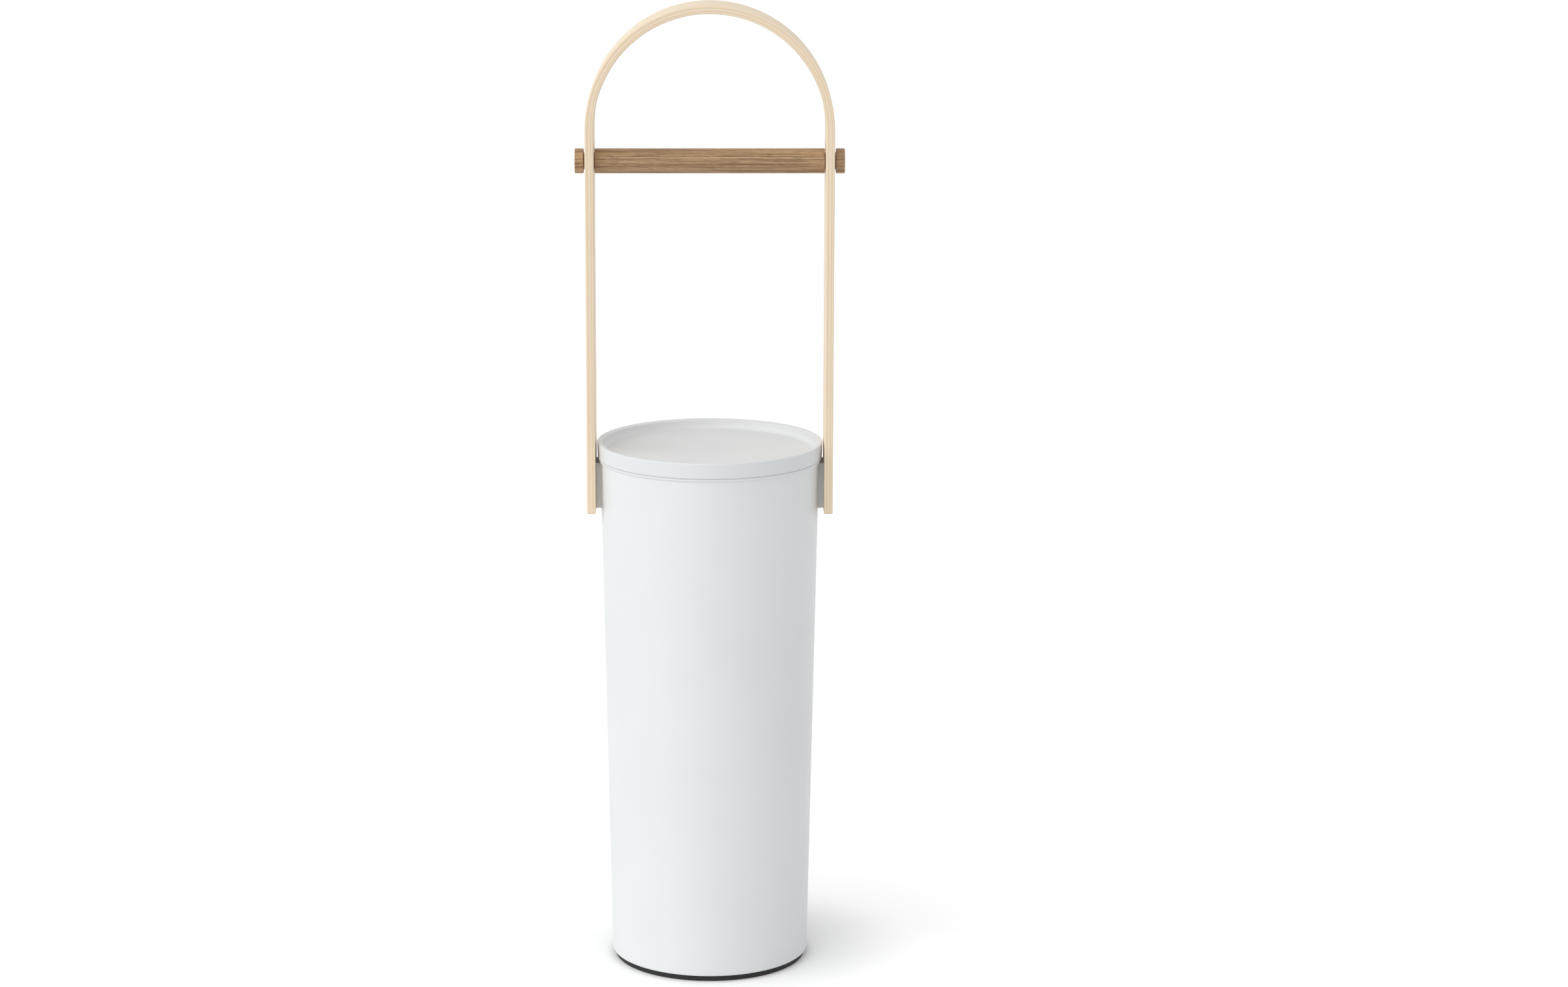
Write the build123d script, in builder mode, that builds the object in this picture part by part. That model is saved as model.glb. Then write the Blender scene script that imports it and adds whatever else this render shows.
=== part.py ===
import os

from build123d import *

# Freestanding toilet roll holder. Millimetres, +Z up, the front faces -Y and the rod lies along X.
# The origin is on the floor, under the middle of the canister.

# Canister: a moulded, slightly tapered tub with a bead round its mouth
canister_bottom_radius = 68.2
body_radius_at_rim = 75.1
canister_height = 351.75
canister_wall = 2.4
canister_floor_thickness = 3.0
canister_bottom_round = 0.9
canister_inner_corner_round = 4.0
canister_edge_chamfer = 0.4
bead_overhang = 1.35
bead_height = 1.4
bead_slope_height = 0.6
bead_root_fillet = 1.0
bead_lower_round = 0.5
bead_edge_round = 0.5

# Foot: a rubber pad pushed into the recess under the canister, round a steel ballast plate
foot_height = 4.05
foot_inset = 2.1
foot_recess_depth = 5.7
foot_clearance = 0.3
foot_edge_round = 0.5
foot_tread_width = 11.7
foot_hollow_depth = 0.8
foot_wall = 6.0
weight_thickness = 6.0
weight_clearance = 0.2
weight_chamfer = 0.5

# Lid: a shallow tray that flares slightly, sits on the bead and plugs the mouth
lid_overhang = 0.35
lid_flare = 0.4
lid_height = 11.3
lid_rim_width = 3.7
lid_rim_slope = 1.1
lid_rim_outer_round = 0.8
lid_rim_inner_round = 0.4
lid_lower_round = 0.9
tray_depth = 7.1
tray_floor_thickness = 2.4
tray_corner_fillet = 3.5
plug_clearance = 0.5
plug_thickness = 2.0
plug_depth = 6.0
plug_chamfer = 0.6

# Handle: one flat band of bent plywood, an upside-down U with a round hole through each leg
handle_gap_to_lid = 0.8
handle_thickness = 6.0
handle_width = 36.5
handle_overlap = 36.85
handle_leg_length = 262.8
handle_edge_round = 0.9
handle_end_chamfer = 0.4
hole_below_arc = 19.15
hole_chamfer = 0.4

# Rod: turned from one length of wood, with a neck and a head at each end
rod_diameter = 16.9
rod_neck_diameter = 11.3
rod_head_diameter = 16.9
rod_head_length = 6.0
rod_head_clearance = 1.1
rod_head_gap = 1.1
rod_shoulder_gap = 0.5
rod_head_round = 0.5
rod_shoulder_chamfer = 0.3
rod_rest_gap = 0.05

# Spacers: blocks between the legs and the canister, each let into a shallow seat in its side
spacer_width = 20.0
spacer_above_leg_end = 2.6
spacer_below_rim = 2.8
spacer_seat_depth = 0.4
spacer_edge_round = 0.3

# Screws and threaded inserts: two of each per leg, put in from inside the canister
screw_offsets = {"lower": 7.5, "upper": 22.0}
screw_diameter = 4.0
screw_tip_gap = 0.5
screw_tip_chamfer = 0.4
screw_head_diameter = 8.0
screw_head_height = 2.4
screw_head_chamfer = 0.9
screw_hole_clearance = 0.5
hex_socket_width = 2.5
hex_socket_depth = 1.4
spot_face_clearance = 1.2
spot_face_depth = 0.25
insert_diameter = 6.0
insert_skin = 1.4

# Heights, radii and places that follow from the sizes above
floor_underside_z = foot_height + foot_recess_depth
foot_radius = canister_bottom_radius - foot_inset
weight_radius = foot_radius - foot_wall - weight_clearance
rim_z = foot_height + canister_height
rim_radius = body_radius_at_rim + bead_overhang
mouth_radius = body_radius_at_rim - canister_wall
bead_z = rim_z - bead_height
bead_root_z = bead_z - bead_slope_height
lid_lower_radius = rim_radius + lid_overhang
lid_radius = lid_lower_radius + lid_flare
lid_top_z = rim_z + lid_height
handle_inner_x = lid_radius + handle_gap_to_lid
handle_outer_x = handle_inner_x + handle_thickness
handle_foot_z = rim_z - handle_overlap
handle_arc_z = handle_foot_z + handle_leg_length
hole_diameter = rod_head_diameter + rod_head_clearance
hole_z = handle_arc_z - hole_below_arc
rod_z = hole_z - hole_diameter / 2 + rod_neck_diameter / 2 + rod_rest_gap
spacer_bottom_z = handle_foot_z + spacer_above_leg_end
spacer_top_z = rim_z - spacer_below_rim
screw_places = {place: spacer_bottom_z + offset for place, offset in screw_offsets.items()}
insert_length = handle_thickness - insert_skin


def body_radius(z):
    """Radius of the tapered outside of the canister at height z."""
    taper = (body_radius_at_rim - canister_bottom_radius) / canister_height
    return canister_bottom_radius + taper * (z - foot_height)


def screw_seat_x(z):
    """Distance from the middle to the flat that is cut into the inner wall under a screw head."""
    return body_radius(z) - canister_wall + spot_face_depth


def corners_at(sketch, points):
    """The corners of a flat outline that lie at the given points."""
    return [sketch.vertices().sort_by_distance(point)[0] for point in points]


def cross_circle(z, diameter):
    """Outline, on the middle plane, of a round hole that runs along X at height z."""
    with BuildSketch(Plane.YZ) as outline:
        with Locations((0, z)):
            Circle(diameter / 2)
    return outline.sketch


def make_spacer_block():
    """Plain right-hand spacer, from the bottom of its seat in the canister's side out to the leg."""
    seat_bottom_radius = canister_bottom_radius - spacer_seat_depth
    seat_rim_radius = body_radius_at_rim - spacer_seat_depth
    with BuildPart() as block:
        with BuildSketch(Plane.XZ):
            with BuildLine():
                Polyline(
                    (mouth_radius, spacer_bottom_z),
                    (handle_inner_x, spacer_bottom_z),
                    (handle_inner_x, spacer_top_z),
                    (mouth_radius, spacer_top_z),
                    close=True,
                )
            make_face()
        extrude(amount=spacer_width / 2, both=True)
        with BuildSketch(Plane.XZ):
            with BuildLine():
                Polyline(
                    (0, foot_height),
                    (seat_bottom_radius, foot_height),
                    (seat_rim_radius, rim_z),
                    (0, rim_z),
                    close=True,
                )
            make_face()
        revolve(axis=Axis.Z, mode=Mode.SUBTRACT)
    return block


def make_canister():
    """Tub with a recess under its floor, a bead round its mouth, two seats and four screw holes."""
    floor_top_z = floor_underside_z + canister_floor_thickness
    recess_radius = foot_radius + foot_clearance
    bottom_inner = (recess_radius, foot_height)
    bottom_outer = (canister_bottom_radius, foot_height)
    bead_root = (body_radius(bead_root_z), bead_root_z)
    bead_lower = (rim_radius, bead_z)
    bead_upper = (rim_radius, rim_z)
    mouth = (mouth_radius, rim_z)
    inner_corner = (body_radius(floor_top_z) - canister_wall, floor_top_z)
    with BuildPart() as canister:
        with BuildSketch(Plane.XZ) as section:
            with BuildLine():
                Polyline(
                    (0, floor_underside_z),
                    (recess_radius, floor_underside_z),
                    bottom_inner,
                    bottom_outer,
                    bead_root,
                    bead_lower,
                    bead_upper,
                    mouth,
                    inner_corner,
                    (0, floor_top_z),
                    close=True,
                )
            make_face()
            fillet(corners_at(section, [bottom_outer]), canister_bottom_round)
            fillet(corners_at(section, [bead_root]), bead_root_fillet)
            fillet(corners_at(section, [bead_lower]), bead_lower_round)
            fillet(corners_at(section, [bead_upper]), bead_edge_round)
            chamfer(corners_at(section, [mouth, bottom_inner]), canister_edge_chamfer)
            fillet(corners_at(section, [inner_corner]), canister_inner_corner_round)
        revolve(axis=Axis.Z)
        spacer_block = make_spacer_block().part
        add(spacer_block, mode=Mode.SUBTRACT)
        add(spacer_block.mirror(Plane.YZ), mode=Mode.SUBTRACT)
        for z in screw_places.values():
            hole = cross_circle(z, screw_diameter + screw_hole_clearance)
            extrude(hole, amount=rim_radius, both=True, mode=Mode.SUBTRACT)
            spot_face = cross_circle(z, screw_head_diameter + spot_face_clearance)
            extrude(spot_face, amount=screw_seat_x(z), both=True, mode=Mode.SUBTRACT)
    return canister


def make_foot_pad():
    """Rubber pad with a pocket for the ballast above and a shallow hollow below."""
    with BuildPart() as foot_pad:
        with BuildSketch(Plane.XY):
            Circle(foot_radius)
        extrude(amount=floor_underside_z)
        fillet(foot_pad.edges().group_by(Axis.Z)[0], foot_edge_round)
        with BuildSketch(Plane.XY.offset(floor_underside_z)):
            Circle(weight_radius + weight_clearance)
        extrude(amount=-weight_thickness, mode=Mode.SUBTRACT)
        with BuildSketch(Plane.XY):
            Circle(foot_radius - foot_tread_width)
        extrude(amount=foot_hollow_depth, mode=Mode.SUBTRACT)
    return foot_pad


def make_base_weight():
    """Steel disc that keeps the tall holder from tipping."""
    with BuildPart() as base_weight:
        with BuildSketch(Plane.XY.offset(floor_underside_z)):
            Circle(weight_radius)
        extrude(amount=-weight_thickness)
        chamfer(base_weight.edges(), weight_chamfer)
    return base_weight


def make_lid():
    """Tray whose rim slopes inward, with a filleted floor and a plug ring under it."""
    wall_inner = lid_radius - lid_rim_width
    tray_floor_z = lid_top_z - tray_depth
    ceiling_z = tray_floor_z - tray_floor_thickness
    plug_outer = mouth_radius - plug_clearance
    plug_inner = plug_outer - plug_thickness
    plug_bottom_z = rim_z - plug_depth
    tray_corner = (wall_inner, tray_floor_z)
    inner_top = (wall_inner, lid_top_z - lid_rim_slope)
    outer_top = (lid_radius, lid_top_z)
    outer_bottom = (lid_lower_radius, rim_z)
    plug_tips = [(plug_outer, plug_bottom_z), (plug_inner, plug_bottom_z)]
    with BuildPart() as lid:
        with BuildSketch(Plane.XZ) as section:
            with BuildLine():
                Polyline(
                    (0, tray_floor_z),
                    tray_corner,
                    inner_top,
                    outer_top,
                    outer_bottom,
                    (plug_outer, rim_z),
                    *plug_tips,
                    (plug_inner, ceiling_z),
                    (0, ceiling_z),
                    close=True,
                )
            make_face()
            fillet(corners_at(section, [tray_corner]), tray_corner_fillet)
            fillet(corners_at(section, [inner_top]), lid_rim_inner_round)
            fillet(corners_at(section, [outer_top]), lid_rim_outer_round)
            fillet(corners_at(section, [outer_bottom]), lid_lower_round)
            chamfer(corners_at(section, plug_tips), plug_chamfer)
        revolve(axis=Axis.Z)
    return lid


def make_handle():
    """Bent band with rounded long edges, a bored hole and two insert pockets in each leg."""
    with BuildPart() as handle:
        with BuildSketch(Plane.XZ):
            with BuildLine():
                outer_arc = CenterArc((0, handle_arc_z), handle_outer_x, 0, 180)
                inner_arc = CenterArc((0, handle_arc_z), handle_inner_x, 0, 180)
                for end, side in ((0, 1), (1, -1)):
                    Polyline(
                        outer_arc @ end,
                        (side * handle_outer_x, handle_foot_z),
                        (side * handle_inner_x, handle_foot_z),
                        inner_arc @ end,
                    )
            make_face()
        extrude(amount=handle_width / 2, both=True)
        flat_sides = handle.faces().filter_by(Axis.Y)
        fillet(flat_sides.edges() - handle.edges().filter_by(Axis.X), handle_edge_round)
        chamfer(handle.faces().filter_by(Axis.Z).edges(), handle_end_chamfer)
        extrude(cross_circle(hole_z, hole_diameter), amount=handle_outer_x, both=True, mode=Mode.SUBTRACT)
        hole_edges = handle.edges().filter_by(GeomType.CIRCLE).filter_by_position(
            Axis.Z, hole_z - hole_diameter, hole_z + hole_diameter
        )
        chamfer(hole_edges, hole_chamfer)
        for z in screw_places.values():
            pocket = cross_circle(z, insert_diameter)
            extrude(pocket, amount=handle_inner_x + insert_length, both=True, mode=Mode.SUBTRACT)
    return handle


def make_rod():
    """Turned rod whose necks rest on the lower edges of the holes in the legs."""
    shoulder_x = handle_inner_x - rod_shoulder_gap
    head_x = handle_outer_x + rod_head_gap
    end_x = head_x + rod_head_length
    shoulder = (shoulder_x, rod_diameter / 2)
    head_corners = [(head_x, rod_head_diameter / 2), (end_x, rod_head_diameter / 2)]
    with BuildPart() as rod:
        with BuildSketch(Plane.XZ.shift_origin((0, 0, rod_z))) as section:
            with BuildLine():
                Polyline(
                    (0, 0),
                    (0, rod_diameter / 2),
                    shoulder,
                    (shoulder_x, rod_neck_diameter / 2),
                    (head_x, rod_neck_diameter / 2),
                    *head_corners,
                    (end_x, 0),
                    close=True,
                )
            make_face()
            chamfer(corners_at(section, [shoulder]), rod_shoulder_chamfer)
            fillet(corners_at(section, head_corners), rod_head_round)
            mirror(about=Plane.YZ)
        revolve(axis=Axis((0, 0, rod_z), (1, 0, 0)))
    return rod


def make_spacer():
    """Right-hand spacer: it sits in its seat and carries the leg, with a hole for each screw."""
    with BuildPart() as spacer:
        add(make_spacer_block().part)
        fillet(spacer.edges().filter_by(Axis.Z).group_by(Axis.X)[-1], spacer_edge_round)
        for z in screw_places.values():
            hole = cross_circle(z, screw_diameter + screw_hole_clearance)
            extrude(hole, amount=handle_outer_x, mode=Mode.SUBTRACT)
    return spacer


def make_screw(z):
    """Right-hand button-head screw at height z, driven outward with a hex key."""
    seat = Plane.YZ.shift_origin((0, 0, z)).offset(screw_seat_x(z))
    tip_x = handle_inner_x + insert_length - screw_tip_gap
    with BuildPart() as screw:
        with BuildSketch(seat):
            Circle(screw_head_diameter / 2)
        extrude(amount=-screw_head_height)
        chamfer(screw.edges().group_by(Axis.X)[0], screw_head_chamfer)
        with BuildSketch(seat):
            Circle(screw_diameter / 2)
        extrude(amount=tip_x - screw_seat_x(z))
        chamfer(screw.edges().group_by(Axis.X)[-1], screw_tip_chamfer)
        with BuildSketch(seat.offset(-screw_head_height)):
            RegularPolygon(hex_socket_width / 2, 6, major_radius=False)
        extrude(amount=hex_socket_depth, mode=Mode.SUBTRACT)
    return screw


def make_insert(z):
    """Right-hand brass insert at height z, flush with the inner face of the leg."""
    with BuildPart() as insert:
        with BuildSketch(Plane.YZ.shift_origin((0, 0, z)).offset(handle_inner_x)):
            Circle(insert_diameter / 2)
            Circle(screw_diameter / 2, mode=Mode.SUBTRACT)
        extrude(amount=insert_length)
    return insert


def save(piece, name):
    """Label a finished piece and write it to its own file."""
    piece.part.label = name
    export_step(piece.part, f"parts/{name}.step")


def save_pair(right_piece, name):
    """Write the right-hand piece, and its mirror image as the left-hand one."""
    save(right_piece, f"right_{name}")
    with BuildPart() as left_piece:
        mirror(right_piece.part, about=Plane.YZ)
    save(left_piece, f"left_{name}")


os.makedirs("parts", exist_ok=True)
save(make_canister(), "canister")
save(make_foot_pad(), "foot_pad")
save(make_base_weight(), "base_weight")
save(make_lid(), "lid")
save(make_handle(), "handle")
save(make_rod(), "rod")
save_pair(make_spacer(), "spacer")
for place, height in screw_places.items():
    save_pair(make_screw(height), f"{place}_screw")
    save_pair(make_insert(height), f"{place}_insert")
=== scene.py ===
import math

import bpy
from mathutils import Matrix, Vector


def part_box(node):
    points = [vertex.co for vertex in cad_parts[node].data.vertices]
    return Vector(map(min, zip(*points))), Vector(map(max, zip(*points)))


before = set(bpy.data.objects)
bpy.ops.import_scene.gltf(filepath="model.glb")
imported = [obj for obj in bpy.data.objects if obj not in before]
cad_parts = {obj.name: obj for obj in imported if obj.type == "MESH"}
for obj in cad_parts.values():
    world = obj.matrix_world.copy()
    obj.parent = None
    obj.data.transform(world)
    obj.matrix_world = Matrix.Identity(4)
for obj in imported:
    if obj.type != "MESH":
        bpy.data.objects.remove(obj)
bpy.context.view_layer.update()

millimetre = 0.001


# A socket of a shader tree, so that maths on it reads as ordinary Python
class Wire:
    def __init__(self, finish, socket):
        self.finish = finish
        self.socket = socket

    def maths(self, operation, *others):
        inputs = dict(enumerate((self, *others)))
        return self.finish.node("ShaderNodeMath", {"operation": operation}, inputs)

    def __add__(self, other):
        return self.maths("ADD", other)

    def __radd__(self, other):
        return self.maths("ADD", other)

    def __sub__(self, other):
        return self.maths("SUBTRACT", other)

    def __rsub__(self, other):
        return self.maths("MULTIPLY", -1.0) + other

    def __mul__(self, other):
        return self.maths("MULTIPLY", other)

    def __rmul__(self, other):
        return self.maths("MULTIPLY", other)

    def __truediv__(self, other):
        return self.maths("DIVIDE", other)

    def __pow__(self, other):
        return self.maths("POWER", other)

    # 0 below low, 1 above high, with a soft step between
    def step(self, low, high):
        settings = {"interpolation_type": "SMOOTHSTEP"}
        inputs = {"Value": self, "From Min": low, "From Max": high}
        return self.finish.node("ShaderNodeMapRange", settings, inputs)


# The shader tree of a material or of the world, under construction
class Finish:
    def __init__(self, owner):
        owner.use_nodes = True
        self.owner = owner
        self.tree = owner.node_tree
        self.tree.nodes.clear()

    def node(self, kind, settings=None, inputs=None, output=0):
        made = self.tree.nodes.new(kind)
        for key, value in (settings or {}).items():
            if key == "stops":
                self.fillRamp(made.color_ramp, value)
            else:
                setattr(made, key, value)
        for key, value in (inputs or {}).items():
            if isinstance(value, Wire):
                self.tree.links.new(value.socket, made.inputs[key])
            else:
                made.inputs[key].default_value = value
        return Wire(self, made.outputs[output])

    def fillRamp(self, ramp, stops):
        while len(ramp.elements) < len(stops):
            ramp.elements.new(1.0)
        for element, (place, colour) in zip(ramp.elements, stops):
            element.position = place
            element.color = (*colour, 1.0)

    def end(self, kind, shader):
        last = self.tree.nodes.new(kind)
        self.tree.links.new(shader.socket, last.inputs[0])

    # x, y and z of the piece, in millimetres, as the frame has them at rest
    def place(self):
        point = self.node("ShaderNodeTexCoord", output="Object")
        inputs = {0: point, 1: (1 / millimetre,) * 3}
        scaled = self.node("ShaderNodeVectorMath", {"operation": "MULTIPLY"}, inputs)
        split = self.node("ShaderNodeSeparateXYZ", None, {0: scaled})
        return [Wire(self, socket) for socket in split.socket.node.outputs]

    def vector(self, x, y, z):
        return self.node("ShaderNodeCombineXYZ", None, {0: x, 1: y, 2: z})

    def noise(self, where, scale=1.0, detail=3.0, roughness=0.5, distortion=0.0):
        inputs = {"Vector": where, "Scale": scale, "Detail": detail, "Roughness": roughness}
        inputs["Distortion"] = distortion
        return self.node("ShaderNodeTexNoise", None, inputs)

    def mix(self, factor, first, second):
        inputs = {0: factor, 6: first, 7: second}
        return self.node("ShaderNodeMix", {"data_type": "RGBA"}, inputs, output=2)

    def bump(self, height, distance, strength=1.0):
        inputs = {"Height": height, "Distance": distance, "Strength": strength}
        return self.node("ShaderNodeBump", None, inputs)

    def shade(self, **sockets):
        names = {"baseColor": "Base Color"}
        inputs = {names.get(key, key.capitalize()): value for key, value in sockets.items()}
        shader = self.node("ShaderNodeBsdfPrincipled", None, inputs)
        self.end("ShaderNodeOutputMaterial", shader)
        return self.owner


def newFinish(name):
    return Finish(bpy.data.materials.new(name))


def colour(red, green, blue):
    return (red, green, blue, 1.0)


def dress(material, *nodes):
    for name in nodes:
        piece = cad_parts[name]
        piece.cycles.shadow_terminator_geometry_offset = 0.1
        piece.data.materials.clear()
        piece.data.materials.append(material)


# Moulded parts: satin white plastic with a faint orange peel, slight handling marks and a painted shade
# line along the seam under the lid
plastic = {
    "canister": {"tone": (0.875, 0.895, 0.905), "shadeTone": (0.86, 0.88, 0.89), "roughness": 0.42},
    # lid: the canister's plastic, a little darker partly as painted shade for its tray
    "lid": {"tone": (0.835, 0.857, 0.87), "shadeTone": (0.82, 0.842, 0.855), "roughness": 0.40},
    # spacers: the canister's white plastic, with their grey tone painted shade from the legs beside
    # them
    "spacer": {"tone": (0.62, 0.62, 0.625), "shadeTone": (0.585, 0.585, 0.59), "roughness": 0.50},
    "peelSize": 0.9,
    "peelHeight": 0.004,
    "mottleSize": 70.0,
    "rubStretch": (0.35, 0.35, 0.06),  # hands rub it up and down
    "scuffTop": 12.0,
    "scuffAmount": 0.15,
    "scuffTone": (0.62, 0.61, 0.59),
    "seamShadeHalfWidth": (0.0, 1.0),
    "seamShade": 0.24,
    "seamShadeTone": (0.36, 0.37, 0.375),
}


def makePlastic(name, look):
    finish = newFinish(name)
    x, y, z = finish.place()
    where = finish.vector(x, y, z)
    mottle = finish.noise(where, scale=1 / plastic["mottleSize"], detail=2.0).step(0.35, 0.65)
    peel = finish.noise(where, scale=1 / plastic["peelSize"], detail=2.0, roughness=0.6)
    acrossStretch, depthStretch, upStretch = plastic["rubStretch"]
    rubPlace = finish.vector(x * acrossStretch, y * depthStretch, z * upStretch)
    rubbed = finish.noise(rubPlace, scale=0.5, detail=4.0, roughness=0.7).step(0.55, 0.8)
    nearFloor = 1 - z.step(foot["height"], plastic["scuffTop"])
    scuffPlace = finish.vector(x, y, z * 3)
    scuff = finish.noise(scuffPlace, scale=0.45, detail=5.0, roughness=0.7).step(0.56, 0.72) * nearFloor
    clean = finish.mix(mottle, colour(*look["tone"]), colour(*look["shadeTone"]))
    worn = finish.mix(scuff * plastic["scuffAmount"], clean, colour(*plastic["scuffTone"]))
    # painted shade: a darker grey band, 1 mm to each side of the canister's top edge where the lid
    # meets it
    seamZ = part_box("canister")[1].z / millimetre
    paintedSeamShade = 1 - (z - seamZ).maths("ABSOLUTE").step(*plastic["seamShadeHalfWidth"])
    shown = finish.mix(paintedSeamShade * plastic["seamShade"], worn, colour(*plastic["seamShadeTone"]))
    rough = look["roughness"] + mottle * 0.03 + rubbed * 0.05 + scuff * 0.1
    normal = finish.bump(peel, plastic["peelHeight"] * millimetre)
    return finish.shade(baseColor=shown, roughness=rough, normal=normal)


# Foot: black rubber with a dull bloom, dust in its lower edge and fine moulded rings below
foot = {
    "height": 4.05,
    "tone": (0.010, 0.0105, 0.010),
    "bloom": (0.016, 0.0165, 0.016),
    "dust": (0.09, 0.088, 0.085),
    "dustTop": 1.6,
    "dustAmount": 0.5,
    "ringPitch": 2.4,
    "ringHeight": 0.25,
}


def makeRubber():
    finish = newFinish("foot rubber")
    x, y, z = finish.place()
    where = finish.vector(x, y, z)
    radius = (x * x + y * y) ** 0.5
    rings = (radius * (2 * math.pi / foot["ringPitch"])).maths("SINE")
    bloom = finish.noise(where, scale=0.09, detail=4.0).step(0.4, 0.7)
    nearFloor = 1 - z.step(0.2, foot["dustTop"])
    dust = finish.noise(where, scale=0.8, detail=4.0).step(0.55, 0.75) * nearFloor
    grain = finish.noise(where, scale=3.5, detail=3.0)
    black = finish.mix(bloom, colour(*foot["tone"]), colour(*foot["bloom"]))
    dusty = finish.mix(dust * foot["dustAmount"], black, colour(*foot["dust"]))
    underside = 1 - z.step(0.0, 1.0)
    height = grain * 0.03 + rings * underside * foot["ringHeight"]
    rough = 0.62 + bloom * 0.12 + dust * 0.2
    return finish.shade(baseColor=dusty, roughness=rough, normal=finish.bump(height, millimetre, 0.6))


# Handle: light bent plywood, three long-grain plies with two thinner cross plies between them
plywood = {
    "thickness": 6.0,
    "longPly": 1.55,
    "crossPly": 0.675,
    "glueLine": 0.06,
    "longGrain": (0.95, 0.80, 0.62),
    "longGrainDark": (0.90, 0.71, 0.50),
    "crossGrain": (0.88, 0.70, 0.49),
    "crossGrainDark": (0.80, 0.62, 0.42),
    "glue": (0.74, 0.59, 0.41),
    "veneer": (0.99, 0.86, 0.665),
    "faceSkin": 0.15,  # depth within which a face shows one even ply
    "plyWander": 0.2,
    "plySoftness": 0.04,
    "streakAmount": 0.7,
    "poreAmount": 0.7,
    "fibreAmount": 0.3,
    "glueAmount": 0.4,
}


def makePlywood():
    finish = newFinish("bent plywood")
    x, y, z = finish.place()
    low, high = (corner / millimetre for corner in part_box("handle"))
    outerRadius = high.x
    innerRadius = outerRadius - plywood["thickness"]
    arcZ = high.z - outerRadius
    aboveArc = (z - arcZ).maths("MAXIMUM", 0.0)
    belowArc = (z - arcZ).maths("MINIMUM", 0.0)
    radius = (x * x + aboveArc * aboveArc) ** 0.5
    angle = aboveArc.maths("ARCTAN2", x)
    along = angle * (outerRadius + innerRadius) / 2 + belowArc * x.maths("SIGN")

    # how deep in which pair of plies, counted from the inner face, with the two faces held flat
    pitch = plywood["longPly"] + plywood["crossPly"]
    skin = plywood["faceSkin"]
    level = (radius - innerRadius).maths("MAXIMUM", skin).maths("MINIMUM", plywood["thickness"] - skin)
    outerFace = level.step(plywood["thickness"] - skin - 0.1, plywood["thickness"] - skin)
    wander = finish.noise(finish.vector(along, y, 0.0), scale=0.02, detail=2.0) - 0.5
    depth = level + wander * plywood["plyWander"]
    pair = (depth / pitch).maths("FLOOR")
    through = depth - pair * pitch
    intoCross = through - plywood["longPly"]
    cross = intoCross.step(-plywood["plySoftness"], plywood["plySoftness"])
    glueDistance = intoCross.maths("ABSOLUTE").maths("MINIMUM", pitch - through)
    glue = 1 - glueDistance.step(plywood["glueLine"] * 0.5, plywood["glueLine"] * 1.5)

    streakPlace = finish.vector(along * 0.010, y * 0.45, pair * 7.3 + depth * 0.8)
    streak = finish.noise(streakPlace, detail=5.0, roughness=0.6).step(0.34, 0.72)
    fibrePlace = finish.vector(along * 0.05, y * 3.5, depth * 3.5)
    fibre = finish.noise(fibrePlace, detail=3.0, roughness=0.7)
    porePlace = finish.vector(along * 1.4, y * 1.2, depth * 3.0)
    pores = finish.noise(porePlace, detail=4.0, roughness=0.75).step(0.42, 0.66)
    streaks = streak * plywood["streakAmount"]
    openPores = pores * plywood["poreAmount"]
    fibres = fibre.step(0.45, 0.75) * plywood["fibreAmount"]
    longLight = finish.mix(outerFace, colour(*plywood["longGrain"]), colour(*plywood["veneer"]))
    crossLight = colour(*plywood["crossGrain"])
    longColour = finish.mix(streaks, longLight, colour(*plywood["longGrainDark"]))
    crossColour = finish.mix(openPores, crossLight, colour(*plywood["crossGrainDark"]))
    grained = finish.mix(cross, longColour, crossColour)
    grained = finish.mix(fibres, grained, colour(*plywood["longGrainDark"]))
    grained = finish.mix(glue * plywood["glueAmount"], grained, colour(*plywood["glue"]))
    rough = 0.5 + streak * 0.08 + cross * 0.08
    height = fibre * 0.03 - pores * cross * 0.02 - glue * 0.02
    return finish.shade(baseColor=grained, roughness=rough, normal=finish.bump(height, millimetre, 0.7))


# Rod: open-grained brown wood, its grain along the rod, with end grain on the heads
rodWood = {
    "light": (0.60, 0.40, 0.225),
    "middle": (0.39, 0.24, 0.125),
    "dark": (0.14, 0.075, 0.035),
    "endGrain": (0.34, 0.20, 0.10),
    "sway": 1.6,
    "fibreAmount": 0.3,
    "poreAmount": 0.55,
}


def makeRodWood():
    finish = newFinish("rod wood")
    x, y, z = finish.place()
    low, high = (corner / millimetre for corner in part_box("rod"))
    axisZ = (low.z + high.z) / 2
    sway = (finish.noise(finish.vector(x * 0.02, 0.0, 0.0), detail=2.0) - 0.5) * rodWood["sway"]
    growth = finish.vector(x * 0.010, y * 0.5 + sway, (z - axisZ) * 1.1 + sway)
    bands = finish.noise(growth, detail=5.0, roughness=0.66, distortion=0.4)
    fibre = finish.noise(finish.vector(x * 0.10, y * 3.2, z * 3.2), detail=5.0, roughness=0.7)
    porePlace = finish.vector(x * 0.16, y * 4.0, z * 4.0)
    pores = finish.noise(porePlace, detail=2.0, roughness=0.6).step(0.54, 0.66)
    tone = finish.node(
        "ShaderNodeValToRGB",
        {"stops": [(0.34, rodWood["dark"]), (0.47, rodWood["middle"]), (0.62, rodWood["light"])]},
        {0: bands},
    )
    fibres = fibre.step(0.42, 0.7) * rodWood["fibreAmount"]
    grained = finish.mix(fibres, tone, colour(*rodWood["middle"]))
    grained = finish.mix(pores * rodWood["poreAmount"], grained, colour(*rodWood["dark"]))
    endFace = x.maths("ABSOLUTE").step(high.x - 0.25, high.x - 0.05)
    ends = finish.mix(fibre.step(0.4, 0.6), colour(*rodWood["endGrain"]), colour(*rodWood["middle"]))
    shown = finish.mix(endFace, grained, ends)
    rough = 0.48 + fibre * 0.12 + pores * 0.15
    height = fibre * 0.04 - pores * 0.06
    return finish.shade(baseColor=shown, roughness=rough, normal=finish.bump(height, millimetre, 0.8))


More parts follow.
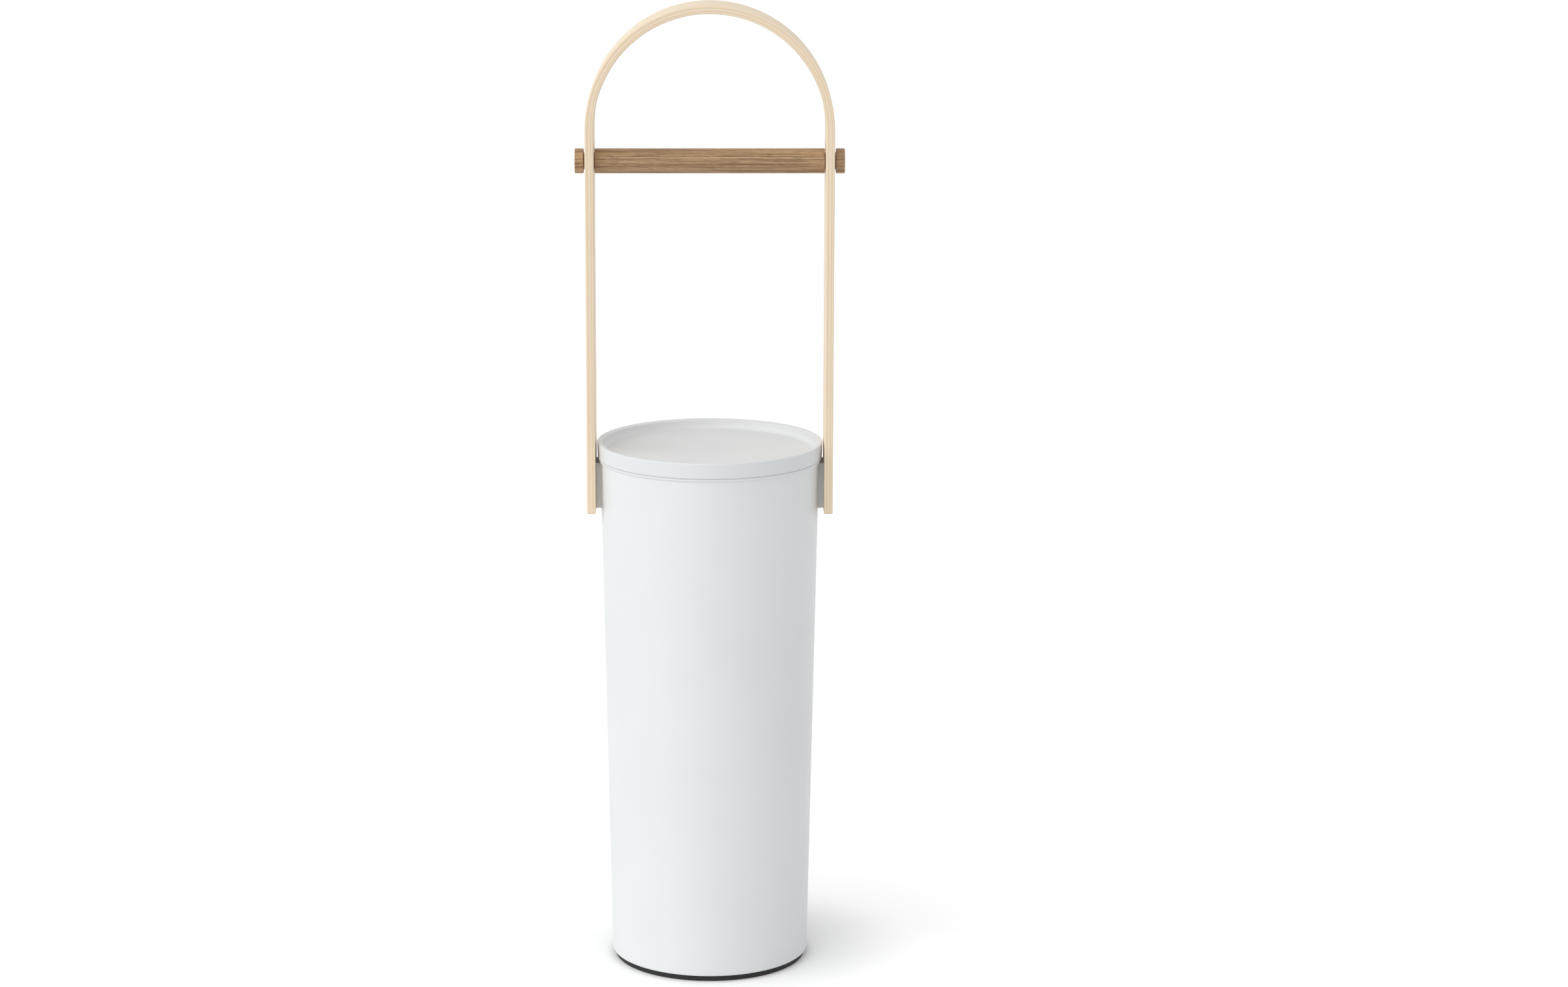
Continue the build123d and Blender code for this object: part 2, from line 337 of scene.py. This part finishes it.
# Fasteners and ballast
metal = {
    "screw": {"tone": (0.60, 0.60, 0.61), "roughness": 0.32, "metallic": 1.0},
    "insert": {"tone": (0.72, 0.53, 0.25), "roughness": 0.30, "metallic": 1.0},
    "ballast": {"tone": (0.05, 0.05, 0.052), "roughness": 0.55, "metallic": 0.0},
    "cloudShade": 0.8,
    "toolMarkHeight": 0.01,
}


def makeMetal(name, look):
    finish = newFinish(name)
    x, y, z = finish.place()
    where = finish.vector(x, y, z)
    cloud = finish.noise(where, scale=0.6, detail=4.0)
    turned = finish.noise(finish.vector(x * 12, y, z), detail=3.0)
    darker = tuple(part * metal["cloudShade"] for part in look["tone"])
    shown = finish.mix(cloud.step(0.35, 0.7), colour(*look["tone"]), colour(*darker))
    rough = look["roughness"] + cloud * 0.12
    normal = finish.bump(turned, metal["toolMarkHeight"] * millimetre)
    return finish.shade(baseColor=shown, roughness=rough, metallic=look["metallic"], normal=normal)


dress(makePlastic("canister plastic", plastic["canister"]), "canister")
dress(makePlastic("lid plastic", plastic["lid"]), "lid")
dress(makePlastic("spacer plastic in painted shade", plastic["spacer"]), "left_spacer", "right_spacer")
dress(makeRubber(), "foot_pad")
dress(makePlywood(), "handle")
dress(makeRodWood(), "rod")
screwMaterial = makeMetal("screw steel", metal["screw"])
insertMaterial = makeMetal("insert brass", metal["insert"])
for side in ("left", "right"):
    for place in ("lower", "upper"):
        dress(screwMaterial, f"{side}_{place}_screw")
        dress(insertMaterial, f"{side}_{place}_insert")
dress(makeMetal("ballast steel", metal["ballast"]), "base_weight")
print("finishes made and put on")


# Studio: a white floor that keeps the shadow and has a painted shadow round the foot, a white world,
# and two broad distant lamps
studio = {
    "floorSize": 60.0,
    "floorTone": 0.80,
    "floorLift": 0.60,
    "footShade": 0.42,
    "footShadeReach": (66.0, 160.0),  # millimetres from the middle
    "ambient": 0.577,
    "lamps": [
        {"name": "key", "azimuth": -50, "elevation": 22, "spread": 90, "strength": 1.67},
        {"name": "rim", "azimuth": 115, "elevation": 15, "spread": 60, "strength": 0.14},
    ],
}


# 1 for what the camera sees straight or in a gloss or through glass, 0 for what lights the object
def seenRays(finish):
    path = finish.node("ShaderNodeLightPath").socket.node
    rays = ("Is Camera Ray", "Is Glossy Ray", "Is Transmission Ray")
    camera, glossy, through = (Wire(finish, path.outputs[ray]) for ray in rays)
    return (camera + glossy + through).maths("MINIMUM", 1.0)


def makeFloor():
    half = studio["floorSize"] / 2
    mesh = bpy.data.meshes.new("floor")
    corners = [(-half, -half, 0), (half, -half, 0), (half, half, 0), (-half, half, 0)]
    mesh.from_pydata(corners, [], [(0, 1, 2, 3)])
    floor = bpy.data.objects.new("floor", mesh)
    bpy.context.scene.collection.objects.link(floor)
    finish = newFinish("floor white")
    matt = finish.node("ShaderNodeBsdfDiffuse", None, {"Color": colour(*[studio["floorTone"]] * 3)})
    lift = finish.node("ShaderNodeBsdfDiffuse", None, {"Color": colour(*[studio["floorLift"]] * 3)})
    lifted = finish.node("ShaderNodeAddShader", None, {0: matt, 1: lift})
    x, y, z = finish.place()
    # painted contact shadow: the floor the camera sees is darker from 66 to 160 mm round the middle
    fromFoot = ((x * x + y * y) ** 0.5).step(*studio["footShadeReach"])
    shade = (1 - fromFoot) * studio["footShade"]
    shaded = finish.node("ShaderNodeMixShader", None, {0: shade, 1: lifted, 2: matt})
    shown = finish.node("ShaderNodeMixShader", None, {0: seenRays(finish), 1: matt, 2: shaded})
    finish.end("ShaderNodeOutputMaterial", shown)
    mesh.materials.append(finish.owner)


def makeWorld():
    world = bpy.data.worlds.new("studio")
    finish = Finish(world)
    seen = seenRays(finish)
    strength = seen + (1 - seen) * studio["ambient"]
    light = finish.node("ShaderNodeBackground", None, {"Color": colour(1, 1, 1), "Strength": strength})
    finish.end("ShaderNodeOutputWorld", light)
    bpy.context.scene.world = world


def makeLamp(look):
    lamp = bpy.data.lights.new(look["name"], "SUN")
    lamp.energy = look["strength"]
    lamp.angle = math.radians(look["spread"])
    azimuth = math.radians(look["azimuth"])
    elevation = math.radians(look["elevation"])
    across = math.cos(elevation)
    towards = Vector((math.sin(azimuth) * across, -math.cos(azimuth) * across, math.sin(elevation)))
    holder = bpy.data.objects.new(look["name"], lamp)
    holder.rotation_euler = towards.to_track_quat("Z", "Y").to_euler()
    bpy.context.scene.collection.objects.link(holder)


makeFloor()
makeWorld()
for look in studio["lamps"]:
    makeLamp(look)
print("studio lit")


# Camera: straight in front, a little above, with a long lens
view = {
    "distance": 2.66809,
    "height": 0.92424,
    "pitchDown": 12.568,
    "focalPixels": 6107.13,
    "principalX": 1090.0,
    "frameWidth": 2408,
    "sensorWidth": 36.0,
}
camera = bpy.data.objects.new("camera", bpy.data.cameras.new("camera"))
camera.location = (0.0, -view["distance"], view["height"])
camera.rotation_euler = (math.radians(90 - view["pitchDown"]), 0.0, 0.0)
camera.data.sensor_width = view["sensorWidth"]
camera.data.lens = view["sensorWidth"] * view["focalPixels"] / view["frameWidth"]
camera.data.shift_x = 0.5 - view["principalX"] / view["frameWidth"]
camera.data.clip_end = 100.0
bpy.context.scene.collection.objects.link(camera)
bpy.context.scene.camera = camera
bpy.context.scene.view_settings.view_transform = "Standard"
print("camera placed")
